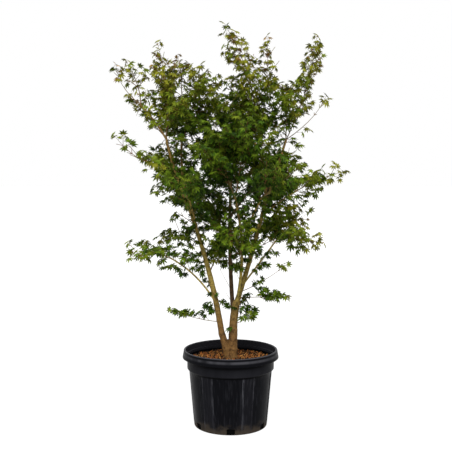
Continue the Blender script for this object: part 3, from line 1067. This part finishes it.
def flute_angle(place):
    """How far round a place is from the middle of its flute."""
    sector = math.tau / FLUTES
    turn = math.atan2(place.y, place.x) + math.pi / 2
    return abs((turn + sector / 2) % sector - sector / 2)


def press(obj, depth, test):
    """Press the vertices that pass the test in towards the pot's axis."""
    mark_where(obj, test)
    shrink = 1 - depth / ((BODY_RADIUS + BASE_RADIUS) / 2)
    bpy.ops.transform.resize(value=(shrink, shrink, 1), center_override=(0, 0, 0))


def make_pot():
    """The moulding, with flat panels and fine grooves pressed into its wall, and its drain holes cut."""
    pot = turned("pot_body", pot_profile(), POT_SIDES)

    def on_wall(place):
        outside = place.xy.length > wall_radius(place.z) - WALL / 2
        return outside and FOOT_CURVE * 0.9 < place.z < BAND_FOOT - PANEL_MARGIN

    edit(pot)
    press(pot, PANEL_DEPTH, lambda place: on_wall(place) and flute_angle(place) < PANEL_HALF_ANGLE)
    ridge = math.pi / FLUTES - GROOVE_HALF_ANGLE
    press(pot, GROOVE_DEPTH, lambda place: on_wall(place) and flute_angle(place) > ridge)
    close_up()
    cut_drains(pot)
    pot.rotation_euler.z = POT_TURN
    settle(pot)
    shade(pot, POT_SMOOTH_ANGLE)
    dress(pot, plastic_look(), ["pot"])


def cut_drains(pot):
    """Drain holes low in the foot, one under each flute."""
    drains = []
    middle = (0, -BASE_RADIUS, DRAIN_SILL + DRAIN_SIZE.z / 2)
    for flute in range(FLUTES):
        bpy.ops.mesh.primitive_cube_add(size=1, location=middle, scale=DRAIN_SIZE)
        drain = settle(named(f"drain_{flute + 1}"))
        apply_modifier(drain, "BEVEL", width=DRAIN_ROUNDING, segments=DRAIN_CORNER_STEPS)
        drain.rotation_euler.z = flute * math.tau / FLUTES - POT_TURN
        drains.append(settle(drain))
    cutter = joined("drains", drains)
    apply_modifier(pot, "BOOLEAN", operation="DIFFERENCE", object=cutter)
    bpy.data.objects.remove(cutter)


# The soil and its mulch.


def soil_top(radius):
    """Height of the soil at a distance from the pot's axis."""
    share = radius / (BAND_RADIUS - WALL)
    return SOIL_HEIGHT + (SOIL_EDGE_HEIGHT - SOIL_HEIGHT) * share


def make_soil():
    """The filling down to the pot's floor, with an uneven top."""
    clear = WALL + PANEL_DEPTH + SOIL_CLEARANCE
    floor = FLOOR_THICKNESS + SOIL_CLEARANCE
    edge = BAND_RADIUS - WALL - SOIL_CLEARANCE
    sides = [(wall_radius(height) - clear, height) for height in (floor, BAND_FOOT)]
    radii = [edge * (1 - ring / SOIL_RINGS) for ring in range(SOIL_RINGS)]
    soil = turned("soil_bed", sides + [(radius, soil_top(radius)) for radius in radii], SOIL_SIDES)
    edit(soil)
    mark_where(soil, lambda place: place.z > BAND_FOOT + BAND_STEP and place.xy.length < edge * 0.99)
    bpy.ops.transform.vertex_random(offset=SOIL_UNEVENNESS, seed=SOIL_SEED)
    close_up()
    shade(soil, SOIL_SMOOTH_ANGLE)
    dress(soil, soil_look(), ["soil"])


def chip_shape(seed):
    """A bark chip of unit length: a flat block, subdivided and broken into a rough shape."""
    bpy.ops.mesh.primitive_cube_add(size=1)
    chip = named("chip")
    bpy.ops.object.mode_set(mode="EDIT")
    bpy.ops.mesh.select_all(action="SELECT")
    bpy.ops.mesh.subdivide(number_cuts=1)
    bpy.ops.transform.resize(value=CHIP_PROPORTIONS, center_override=(0, 0, 0))
    bpy.ops.transform.vertex_random(offset=CHIP_ROUGHNESS, seed=seed)
    bpy.ops.object.mode_set(mode="OBJECT")
    points = np.array([vert.co for vert in chip.data.vertices])
    chip.data.calc_loop_triangles()
    faces = np.array([triangle.vertices for triangle in chip.data.loop_triangles])
    bpy.data.objects.remove(chip)
    return points, faces


def make_mulch():
    """Bark chips strewn over the soil, outside the trunk's foot."""
    rng = random.Random("mulch")
    shapes = [chip_shape(seed) for seed in CHIP_SEEDS]
    heaps = [Heap() for kind in CHIP_KINDS]
    shares = [kind[-1] for kind in CHIP_KINDS]
    edge = BAND_RADIUS - WALL - CHIP_LENGTHS[1] / 2
    for chip in range(CHIPS):
        radius = math.sqrt(rng.uniform(CHIP_CLEAR_RADIUS**2, edge**2))
        around = rng.uniform(0, math.tau)
        size = rng.uniform(*CHIP_LENGTHS) * rng.uniform(*CHIP_SHORTENING)
        turn = Matrix.Rotation(rng.uniform(0, math.tau), 3, "Z")
        for axis in "YX":
            turn = turn @ Matrix.Rotation(rng.gauss(0, CHIP_TILT), 3, axis)
        height = soil_top(radius) + rng.uniform(*CHIP_HEIGHTS)
        place = np.array((radius * math.cos(around), radius * math.sin(around), height))
        points, faces = shapes[chip % len(shapes)]
        heap = rng.choices(heaps, shares)[0]
        heap.add(points @ np.array(turn).T * size + place, faces)
    for heap, (name, colour, edge_colour, _) in zip(heaps, CHIP_KINDS):
        dress(heap.build(name + "s"), chip_look(name, colour, edge_colour), ["soil"])


# Trunk, stems and boughs.


def set_feet():
    """Put each limb's foot on its parent's axis, or beside it where several share the parent's tip."""
    limbs = {limb.name: limb for limb in TRUNK_HALVES + LIMBS + MASSES}
    for limb in limbs.values():
        if not limb.parent:
            continue
        parent = limbs[limb.parent]
        foot = parent.point(limb.along)
        sharers = [other for other in limbs.values() if (other.parent, other.along) == (limb.parent, 1)]
        if limb.along == 1 and len(sharers) > 1:
            lean = Vector(limb.tip) - foot
            lean -= lean.project(parent.heading(1))
            foot += lean.normalized() * parent.radius(1) * FORK_SPREAD
        limb.foot = tuple(foot)
        if limb.reach:
            way = Vector(limb.tip) - foot
            limb.tip = tuple(foot + way * (1 - limb.spray_length(1) / way.length))


def grown_radius(limb, along):
    """The limb's radius with its collar at the foot and a slight swelling at each ring of old leaf scars."""
    climbed = along * limb.length()
    collar = COLLAR_SWELLING * math.exp(-climbed / COLLAR_LENGTH) if limb.along < 1 else 0
    from_scar = abs((climbed + SCAR_STEP / 2) % SCAR_STEP - SCAR_STEP / 2)
    scar = SCAR_SWELLING * math.exp(-((from_scar / SCAR_WIDTH) ** 2))
    return limb.radius(along) * (1 + collar + scar) + VOXEL * VOXEL_LOSS


def draw_limb(limb):
    """A tapering limb: a disc at its foot, extruded ring by ring along its axis."""
    rings = max(FEWEST_RINGS, round(limb.length() / RING_STEP))
    chord = Vector(limb.tip) - Vector(limb.foot)
    turn = chord.to_track_quat("Z", "Y").to_euler()
    obj = start_ring(limb.name + "_bark", GROWN_SIDES, grown_radius(limb, 0), limb.foot, turn)
    for ring in range(1, rings + 1):
        here = limb.point(ring / rings)
        last = (ring - 1) / rings
        grow = grown_radius(limb, ring / rings) / grown_radius(limb, last)
        next_ring(here - limb.point(last), (grow, grow, grow), here)
    close_up()
    return settle(obj)


def draw_flare():
    """The trunk's foot, spreading to the heads of the roots."""
    profile = []
    for step in range(FLARE_STEPS + 1):
        share = step / FLARE_STEPS
        radius = FLARE_RADII[1] + (FLARE_RADII[0] - FLARE_RADII[1]) * (1 - share) ** 2
        profile.append((radius, FLARE_FOOT.z + FLARE_HEIGHT * share))
    pieces = [turned("flare", profile, GROWN_SIDES)]
    for root in range(ROOTS):
        turn = Matrix.Rotation(ROOT_TURN + root * math.tau / ROOTS, 3, "Z")
        reach = tuple(FLARE_FOOT + turn @ Vector((ROOT_REACH, 0, -ROOT_RADII[0])))
        head = tuple(FLARE_FOOT + UP * ROOT_HEAD)
        pieces.append(draw_limb(Limb("root", "", 0, head, ROOT_BOW, ROOT_RADII, foot=reach)))
    return pieces


def relief(obj, size, depth, stretch):
    """Raise and sink the surface by a texture whose patches have this size, drawn out along the height."""
    texture = bpy.data.textures.new("relief", "CLOUDS")
    texture.noise_scale = size
    guide = placed("relief_guide", None)
    guide.scale = (1, 1, stretch)
    bpy.context.view_layer.update()
    by_guide = {"texture_coords": "OBJECT", "texture_coords_object": guide}
    apply_modifier(obj, "DISPLACE", texture=texture, strength=depth, **by_guide)
    bpy.data.objects.remove(guide)
    bpy.data.textures.remove(texture)


def grow_bark(name, pieces, look, nodes, depth):
    """Fuse limbs into one skin, soften their forks and give it the bark's relief."""
    bark = joined(name, pieces)
    apply_modifier(bark, "REMESH", mode="VOXEL", voxel_size=VOXEL)
    apply_modifier(bark, "SMOOTH", **SMOOTHING)
    for size, share, stretch in RELIEFS:
        relief(bark, size, depth * share, stretch)
    shade(bark, BARK_SMOOTH_ANGLE)
    dress(bark, look, nodes)


def make_bark():
    """The woody pieces: trunk and main stems, the dark stems behind them, and the boughs."""
    by_name = {limb.name: limb for limb in LIMBS}
    boughs = [name for name in by_name if name not in MAIN_STEMS + DARK_STEMS]
    tan = bark_look("trunk_bark", (0.116, 0.060, 0.018), (0.200, 0.150, 0.034), 0.46, 0.80)
    umber = bark_look("dark_bark", (0.055, 0.030, 0.013), (0.085, 0.060, 0.018), 0.60, 1.20)
    olive = bark_look("bough_bark", (0.230, 0.180, 0.042), (0.200, 0.125, 0.034), 0.80, 1.50)

    def drawn(names):
        return [draw_limb(by_name[name]) for name in names]

    trunk = draw_flare() + [draw_limb(half) for half in TRUNK_HALVES] + drawn(MAIN_STEMS)
    grow_bark("trunk_and_stems", trunk, tan, ["trunk", *MAIN_STEMS], TRUNK_RELIEF)
    grow_bark("dark_stems", drawn(DARK_STEMS), umber, DARK_STEMS, STEM_RELIEF)
    grow_bark("boughs", drawn(boughs), olive, boughs, BOUGH_RELIEF)


# Foliage.


class Room:
    """The axes of all the limbs and stems, for asking how far places are from each one's surface."""

    def __init__(self, limbs):
        self.names = [limb.name for limb in limbs]
        axes = np.array([limb.axis(AXIS_POINTS) for limb in limbs])
        self.starts = axes[:, :-1]
        self.ways = axes[:, 1:] - axes[:, :-1]
        self.lengths = (self.ways**2).sum(axis=-1)
        self.radii = np.array([limb.radii for limb in limbs])[:, None]

    def distances(self, places):
        """A row for each place, with its distance to the surface of each limb."""
        away = np.array(places)[:, None, None] - self.starts
        share = np.clip((away * self.ways).sum(axis=-1) / self.lengths, 0, 1)
        distance = np.linalg.norm(away - share[..., None] * self.ways, axis=-1)
        along = (np.arange(AXIS_POINTS - 1) + share) / (AXIS_POINTS - 1)
        radius = self.radii[..., 0] + (self.radii[..., 1] - self.radii[..., 0]) * along
        return (distance - radius).min(axis=-1)


def ramp(value, start, end):
    """0 at the start, 1 at the end, and in proportion between."""
    return min(max((value - start) / (end - start), 0), 1)


def depth(place):
    """1 in the heart of the crown, and 0 at its sides and its top."""
    return min(ramp(place.xy.length, *HEART_RADII), ramp(place.z, *HEART_HEIGHTS))


def openness(stem):
    """Share of the usual length of a mass's fine twigs, and where its leafy stretch starts and ends."""
    return OPEN_MASSES.get(stem.name, (1, 0, 1))


def roomy(places, stem, room, margin):
    """Whether all places are off the pot, short of the stem's tip, clear of the limbs and in its space."""
    ahead = stem.heading(1)
    end = (Vector(stem.tip) + ahead * stem.spray_length(1)).dot(ahead)
    if any(place.z < LOWEST_LEAF or place.dot(ahead) > end + TIP_MARGIN for place in places):
        return False
    distances = room.distances(places)
    own = room.names.index(stem.name)
    woody = len(TRUNK_HALVES + LIMBS)
    nearest = np.delete(distances[:, woody:], own - woody, axis=1).min(axis=1)
    limbs = distances[:, :woody].min(axis=1)
    return bool(((nearest >= distances[:, own] + margin) & (limbs >= LIMB_CLEARANCE)).all())


def sideways(forward, turn, flatness):
    """The two ways out of an opposite pair on a twig, turned about it by this angle."""
    across = forward.cross(UP).normalized()
    lift = across.cross(forward) * flatness
    out = across * math.cos(turn) + lift * math.sin(turn)
    return out, -out


def side_shoots(stem, between):
    """Foot, way and place on the stem of a mass's side shoots: opposite pairs, each turned from the last.

    These are the pairs of its solid, or the finer ones that stand between them.
    """
    rng = random.Random(stem.name + (" between" if between else ""))
    pairs = max(2, round(stem.length() / PAIR_STEP))
    shoots = []
    for number in range(pairs - 1 if between else pairs):
        pair = number + 0.5 if between else number
        along = FIRST_PAIR + (LAST_PAIR - FIRST_PAIR) * pair / (pairs - 1)
        forward = stem.heading(along)
        turn = pair * PAIR_TURN + rng.uniform(-PAIR_TURN_VARIATION, PAIR_TURN_VARIATION)
        for out in sideways(forward, turn, SHOOT_FLATNESS):
            heading = out * math.sin(SHOOT_ANGLE) + forward * math.cos(SHOOT_ANGLE) + UP * SHOOT_RISE
            vary = rng.uniform(1 - SHOOT_VARIATION, 1 + SHOOT_VARIATION)
            size = stem.reach * (1 - SHOOT_SHRINK * along) * vary
            if between:
                size *= openness(stem)[0]
            shoots.append((stem.point(along), heading.normalized() * size, along))
    return shoots


@dataclass
class Twig:
    """A fine leafy twig: where it starts, its way, and how young it is."""

    root: Vector
    way: Vector
    youth: float

    def point(self, along):
        level = 1 - max(self.way.normalized().z, 0)
        nod = TWIG_NOD if self.root.z > LOW_SPRAYS else LOW_NOD
        lift = (TWIG_RISE * along - nod * along * along) * level
        return self.root + self.way * along + UP * lift * self.way.length


def youth(place, along, share, rng):
    """0 for an old leaf deep in the crown, 1 and over for a new one at its tips."""
    sides = ramp(math.hypot(place.x, place.y * COLOUR_FLATNESS), *COLOUR_SIDES)
    foot = (1 - ramp(place.z, *COLOUR_FOOT)) * (FOOT_SHARE + (1 - FOOT_SHARE) * sides)
    outward = max(sides, foot, ramp(place.z, *COLOUR_TOP))
    old = YOUTH_ALONG * along + YOUTH_SHARE * share + YOUTH_FOOT * foot
    height = YOUTH_HEIGHT * ramp(place.z, *COLOUR_HEIGHTS)
    return old + height + YOUTH_OUT * outward + rng.gauss(0, COLOUR_VARIATION)


def flatness(place):
    """How far the pairs of twigs turn about their stem: the low sprays stay flat."""
    return TWIG_FLATNESS if place.z > LOW_SPRAYS else LOW_FLATNESS


def pair_of_twigs(place, forward, length, node, rng):
    """Root and way of an opposite pair of twigs."""
    turn = node * TWIG_QUARTER + rng.uniform(-TWIG_TURN_VARIATION, TWIG_TURN_VARIATION)
    pair = []
    for out in sideways(forward, turn, flatness(place)):
        heading = out * math.sin(TWIG_SPREAD) + forward * math.cos(TWIG_SPREAD) + UP * TWIG_LIFT
        pair.append((place, heading.normalized() * length * rng.uniform(*TWIG_LENGTHS)))
    return pair


def twig_length(stem, along):
    """Length of the fine twigs at a place along a mass's stem."""
    size = TWIG_LENGTH + (HEART_TWIG_LENGTH - TWIG_LENGTH) * depth(stem.point(along))
    vigour = openness(stem)[0] * min(stem.reach / FULL_TWIG_REACH, 1)
    return size * vigour * (1 - TWIG_SHRINK * along)


def twigs_on_shoot(foot, way, along, stem, rng):
    """Root, way and share of the shoot of its twigs: opposite pairs, and one that carries it on."""
    forward = way.normalized()
    size = twig_length(stem, along)
    twigs = [(foot + way, forward * size, 1)]
    pairs = max(1, round(way.length / TWIG_STEP))
    for pair in range(pairs):
        share = LAST_TWIG - (LAST_TWIG - FIRST_TWIG) * pair / pairs
        length = size * TIP_TWIG_SHARE + (1 - share) * way.length * TWIG_SHARE * openness(stem)[0]
        for root, out in pair_of_twigs(foot + way * share, forward, length, pair, rng):
            twigs.append((root, out, share))
    return twigs


def twigs_on_stem(stem, rng):
    """Root, way and share of the twigs that grow on a mass's own stem, between its shoots."""
    pairs = max(2, round(stem.length() / STEM_TWIG_STEP))
    twigs = [(stem.point(1), stem.heading(1) * stem.spray_length(1) * TIP_VIGOUR, 1)]
    for pair in range(pairs):
        along = LAST_STEM_TWIG - STEM_TWIG_SPAN * pair / pairs
        length = twig_length(stem, along) * STEM_TWIG_SHARE
        for root, out in pair_of_twigs(stem.point(along), stem.heading(along), length, pair, rng):
            twigs.append((root, out, along))
    return twigs


def twigs_on_limb(limb):
    """The leafy twigs along a bough, where it carries no mass of its own."""
    rng = random.Random(limb.name + " twigs")
    twigs = []
    for node in range(int(limb.length() / BOUGH_TWIG_STEP)):
        along = (node + 0.5) * BOUGH_TWIG_STEP / limb.length()
        place = limb.point(along)
        if place.z < LOWEST_BOUGH_TWIG:
            continue
        length = rng.uniform(*BOUGH_TWIG_LENGTHS)
        for root, way in pair_of_twigs(place, limb.heading(along), length, node, rng):
            twigs.append(Twig(root, way, youth(root + way, 0, 0, rng)))
    return twigs


def side_twigs():
    """The leafy twigs that grow at places of their own."""
    stems = {limb.name: limb for limb in LIMBS + MASSES}
    rng = random.Random("side twigs")
    twigs = []
    for name, *rows in SIDE_TWIGS:
        for along, *way in rows:
            root = stems[name].point(along)
            twigs.append(Twig(root, Vector(way), youth(root + Vector(way), 0, 0, rng)))
    return twigs


def grow_mass(stem, room):
    """The shoots and the twigs of a mass, by the rule that its solid grows by."""
    rng = random.Random(stem.name + " twigs")
    _, start, end = openness(stem)
    shift = YOUTH_SHIFTS.get(stem.name, 0)
    shoots = []
    twigs = []
    buds = []
    for root, way, along in twigs_on_stem(stem, rng):
        if start <= along <= end:
            buds.append((root, way, along, along))
    for foot, way, along in side_shoots(stem, False) + side_shoots(stem, True):
        if not start <= along <= end:
            continue
        for share in SHORTENINGS:
            reach = way * share
            if roomy([foot + reach * step for step in SHOOT_SAMPLES], stem, room, SPACE_MARGIN):
                shoots.append((foot, reach, along))
                found = twigs_on_shoot(foot, reach, along, stem, rng)
                buds += [(root, out, along, place) for root, out, place in found]
                break
    for root, way, along, share in buds:
        twig = Twig(root, way, youth(root + way, along, share, rng) + shift)
        for size in SHORTENINGS:
            twig.way = way * size
            margin = SPACE_MARGIN - EDGE_MARGIN - depth(twig.point(1)) * HEART_MARGIN
            if roomy([twig.point(along) for along in TWIG_SAMPLES], stem, room, margin):
                twigs.append(twig)
                break
    return shoots, twigs


def tube(points, radii, sides):
    """A thin tube through points, open at both ends, tapering from the first radius to the second."""
    points = [Vector(point) for point in points]
    heading = (points[-1] - points[0]).normalized()
    across = heading.orthogonal().normalized()
    other = heading.cross(across)
    angles = [math.tau * side / sides for side in range(sides)]
    spokes = np.array([across * math.cos(angle) + other * math.sin(angle) for angle in angles])
    widths = np.linspace(*radii, len(points))
    rings = [np.array(point) + spokes * width for point, width in zip(points, widths)]
    faces = []
    for ring in range(len(points) - 1):
        for side in range(sides):
            low, high = ring * sides + side, ring * sides + (side + 1) % sides
            faces += [(low, high, high + sides), (low, high + sides, low + sides)]
    return np.concatenate(rings), np.array(faces)


def leaf_shape(cup):
    """A seven-lobed leaf of unit length along +Y, folded along its lobes' midribs and hanging at its tips."""
    lobes = [(-angle, length, width) for angle, length, width in LOBES[:0:-1]] + list(LOBES)
    notches = list(NOTCH_RADII[::-1]) + list(NOTCH_RADII)
    points = [(0.0, 0.0, 0.0)]
    faces = []

    def add(angle, radius, fold=0.0, side=0.0):
        turn = math.radians(angle)
        x = radius * math.sin(turn) + side * math.cos(turn)
        y = radius * math.cos(turn) - side * math.sin(turn)
        points.append((x, y, fold + cup * radius * radius))
        return len(points) - 1

    edges = [(first[0] + second[0]) / 2 for first, second in zip(lobes, lobes[1:])]
    edges = [lobes[0][0] * 2 - edges[0], *edges, lobes[-1][0] * 2 - edges[-1]]
    gaps = [add(angle, radius) for angle, radius in zip(edges, notches)]
    for number, (angle, length, width) in enumerate(lobes):
        tip = add(angle, length)
        left = add(angle, length * LOBE_WIDEST, LOBE_FOLD, -width)
        right = add(angle, length * LOBE_WIDEST, LOBE_FOLD, width)
        ring = (gaps[number], left, tip, right, gaps[number + 1])
        faces += [(0, second, first) for first, second in zip(ring, ring[1:])]
    return np.array(points), np.array(faces)


def leaf_axes(heading, rng):
    """A leaf's axes: its blade faces up and to one side of where its stalk points, and hangs a little."""
    tilt = rng.uniform(*LEAF_TILT)
    azimuth = math.atan2(heading.y, heading.x) + rng.gauss(0, LEAF_TURN)
    lean = math.sin(tilt)
    face = Vector((math.cos(azimuth) * lean, math.sin(azimuth) * lean, math.cos(tilt)))
    forward = heading - UP * LEAF_SAG
    forward = (forward - forward.project(face)).normalized()
    return np.array((forward.cross(face), forward, face))


def seen(place):
    """Where a place is seen from the front, against the plane that the trunk stands in."""
    away = -CAMERA_PLACE[1] / (place.y - CAMERA_PLACE[1])
    across, height = CAMERA_PLACE[::2]
    return np.array([across + (place.x - across) * away, height + (place.z - height) * away])


def in_gap(place):
    """Whether a place is in one of the crown's gaps, as seen from the front."""
    across, height = seen(place)
    for x, z, wide, high in GAPS:
        if ((across - x) / wide) ** 2 + ((height - z) / high) ** 2 < 1:
            return True
    return False


class Foliage:
    """The stems, twigs, stalks and leaves of the crown, gathered by kind. Each leaf keeps its own light."""

    def __init__(self):
        self.shown = []
        for limb in LIMBS:
            if limb.name in MAIN_STEMS + SHOWN_BOUGHS:
                axis = limb.axis(AXIS_POINTS)
                front = np.array([seen(place) for place in axis])
                self.shown.append((front, [place.y for place in axis], limb.radii[0]))
        self.heaps = {name: Heap() for name in (*TWIG_COLOURS, *LEAF_COLOURS)}
        self.shapes = [leaf_shape(cup) for cup in LEAF_CUPS]
        self.taken = {}

    def crowded(self, place):
        """Whether a leaf here would be too near another. If it isn't, the place is taken."""
        cell = tuple(math.floor(value / LEAF_ROOM) for value in place)
        near = itertools.product(*((value - 1, value, value + 1) for value in cell))
        others = itertools.chain.from_iterable(self.taken.get(key, ()) for key in near)
        room = LEAF_ROOM + (HEART_LEAF_ROOM - LEAF_ROOM) * depth(place)
        if any((other - place).length < room for other in others):
            return True
        self.taken.setdefault(cell, []).append(place)
        return False

    def hides_limb(self, place):
        """Whether a leaf here is in front of a limb that shows."""
        here = seen(place)
        for axis, depths, radius in self.shown:
            ways = axis[1:] - axis[:-1]
            share = np.clip(((here - axis[:-1]) * ways).sum(axis=1) / (ways**2).sum(axis=1), 0, 1)
            away = np.linalg.norm(here - axis[:-1] - share[:, None] * ways, axis=1)
            nearest = int(away.argmin())
            if away[nearest] < radius + SHOWN_MARGIN and place.y < depths[nearest]:
                return True
        return False

    def add_tube(self, kind, points, radii, sides):
        self.heaps[kind].add(*tube(points, radii, sides))

    def add_leaf(self, youth, root, heading, size, rng):
        """A leaf on its stalk, where there is light for it."""
        step = sum(youth + rng.gauss(0, LEAF_VARIATION) > step for step in COLOUR_STEPS)
        colour = list(LEAF_COLOURS)[step]
        end = root + heading * PETIOLE * rng.uniform(*PETIOLE_LENGTHS) * size / LEAF_SIZE
        axes = leaf_axes(heading, rng)
        size *= rng.uniform(1 - LEAF_SIZE_VARIATION, 1 + LEAF_SIZE_VARIATION)
        middle = end + Vector(axes[1]) * size * LEAF_MIDDLE
        hidden = self.hides_limb(middle) and rng.random() < SHOWN_SHARE
        if hidden or in_gap(middle) or self.crowded(middle):
            return
        points, faces = rng.choice(self.shapes)
        self.add_tube("petioles", [root, end], (PETIOLE_RADIUS, PETIOLE_RADIUS), TWIG_SIDES)
        self.heaps[colour].add(points @ axes * size + np.array(end), faces)

    def add_twig(self, twig, rng):
        """A fine twig with opposite pairs of leaves, and one at its end."""
        if in_gap(twig.point(TWIG_MIDDLE)):
            return
        young = ramp(twig.youth - YOUNG_FROM, 0, YOUNG_SPAN)
        size = LEAF_SIZE * (1 - (1 - YOUNG_LEAF) * young)
        length = twig.way.length
        last = 1 - min((size + PETIOLE) / length, MOST_END_LEAF)
        forward = twig.way.normalized()
        places = [twig.point(last * share) for share in (0, 0.5, 1)]
        self.add_tube("twigs", places, TWIG_RADII, TWIG_SIDES)
        self.add_leaf(twig.youth, twig.point(last), forward, size, rng)
        if twig.youth > BUD_FROM and not in_gap(twig.point(last)):
            self.add_bud(twig.point(last), forward, size, rng)
        pairs = max(1, round(last * length * (1 - BARE_SHARE) / LEAF_STEP))
        quarter = rng.choice((0, 1))
        for pair in range(pairs):
            place = twig.point(last * (1 - (1 - BARE_SHARE) * (pair + LEAF_PAIR_START) / pairs))
            turn = (pair + quarter) * TWIG_QUARTER + rng.uniform(-TWIG_TURN_VARIATION, TWIG_TURN_VARIATION)
            for out in sideways(forward, turn, flatness(place)):
                heading = (out * math.sin(LEAF_SPREAD) + forward * math.cos(LEAF_SPREAD)).normalized()
                self.add_leaf(twig.youth, place, heading, size * rng.uniform(*TWIG_LEAF_SIZES), rng)

    def add_bud(self, place, forward, size, rng):
        """A pair of small bronze leaves that unfold at a young twig's end."""
        points, faces = self.shapes[-1]
        for out in sideways(forward, rng.uniform(0, math.pi), 1):
            heading = out * math.sin(BUD_SPREAD) + forward * math.cos(BUD_SPREAD)
            axes = leaf_axes(heading, rng) * size * BUD_LEAF * rng.uniform(*BUD_SIZES)
            end = np.array(place + heading * PETIOLE * BUD_STALK)
            self.heaps["leaves_bronze"].add(points @ axes + end, faces)

    def add_bare_twigs(self):
        """The leafless twigs low on the stems."""
        stems = {limb.name: limb for limb in LIMBS}
        for name, (along, *way) in BARE_TWIGS:
            twig = Twig(stems[name].point(along), Vector(way), 0)
            self.add_tube("shoots", [twig.point(step / 4) for step in range(5)], TWIG_RADII, SHOOT_SIDES)

    def add_mass(self, stem, room):
        """A mass's stem as far as it is leafy, with its shoots and its leafy twigs."""
        shoots, twigs = grow_mass(stem, room)
        share, _, reach = openness(stem)
        rings = max(FEWEST_RINGS, round(stem.length() / MASS_RING_STEP))
        places = [stem.point(reach * ring / rings) for ring in range(rings + 1)]
        self.add_tube("mass_stems", places, np.array(STEM_RADII) * max(share, THINNEST_STEM), STEM_SIDES)
        for foot, way, along in shoots:
            radii = (min(SHOOT_RADII[0], stem.radius(along) * SHOOT_THINNING), SHOOT_RADII[1])
            self.add_tube("shoots", [foot + way * share for share in (0, 0.5, 1)], radii, SHOOT_SIDES)
        self.add_twigs(stem.name, twigs)

    def add_twigs(self, name, twigs):
        """Leafy twigs, with random draws seeded by this name."""
        rng = random.Random(name + " leaves")
        for twig in twigs:
            self.add_twig(twig, rng)

    def dress(self):
        """Build each kind's piece and give it its look."""
        names = [stem.name for stem in MASSES]
        for name, heap in self.heaps.items():
            piece = heap.build(name)
            if name in TWIG_COLOURS:
                shade(piece, TWIG_SMOOTH_ANGLE)
                look = twig_look(name, *TWIG_COLOURS[name])
            else:
                look = leaf_look(name, LEAF_COLOURS[name])
            dress(piece, look, names)


def make_foliage():
    """The masses, the twigs along the boughs, and the twigs with places of their own."""
    foliage = Foliage()
    room = Room(TRUNK_HALVES + LIMBS + MASSES)
    for stem in MASSES:
        foliage.add_mass(stem, room)
    for limb in LIMBS:
        foliage.add_twigs(limb.name, twigs_on_limb(limb))
    foliage.add_twigs("side", side_twigs())
    foliage.add_bare_twigs()
    foliage.dress()


# Floor, light and camera.


def make_stage():
    """A pale floor, white surroundings and a soft sun."""
    bpy.ops.mesh.primitive_plane_add(size=FLOOR_SIZE)
    floor = named("floor")
    glow = {"Emission_Color": rgb(1, 1, 1), "Emission_Strength": FLOOR_GLOW}
    floor.data.materials.append(Look("pale_floor", (FLOOR_TONE,) * 3, 0.9, **glow).material)
    world = bpy.data.worlds.new("studio")
    world.use_nodes = True
    sky = world.node_tree.nodes["Background"].inputs
    sky["Color"].default_value = rgb(1, 1, 1)
    sky["Strength"].default_value = WORLD_STRENGTH
    bpy.context.scene.world = world
    sun = bpy.data.lights.new("soft_sun", "SUN")
    sun.energy = SUN_STRENGTH
    sun.angle = SUN_WIDTH
    placed("soft_sun", sun, turn=SUN_TURN)


def make_camera():
    camera = bpy.data.cameras.new("camera")
    camera.sensor_width = SENSOR_WIDTH
    camera.lens = FOCAL_PIXELS / IMAGE_WIDTH * SENSOR_WIDTH
    camera.clip_end = FAR_CLIP
    turn = (math.pi / 2 + CAMERA_PITCH, 0, 0)
    bpy.context.scene.camera = placed("camera", camera, CAMERA_PLACE, turn)


set_feet()
make_stage()
make_camera()
make_pot()
make_soil()
make_mulch()
make_bark()
make_foliage()
bpy.context.scene.view_settings.view_transform = "Standard"
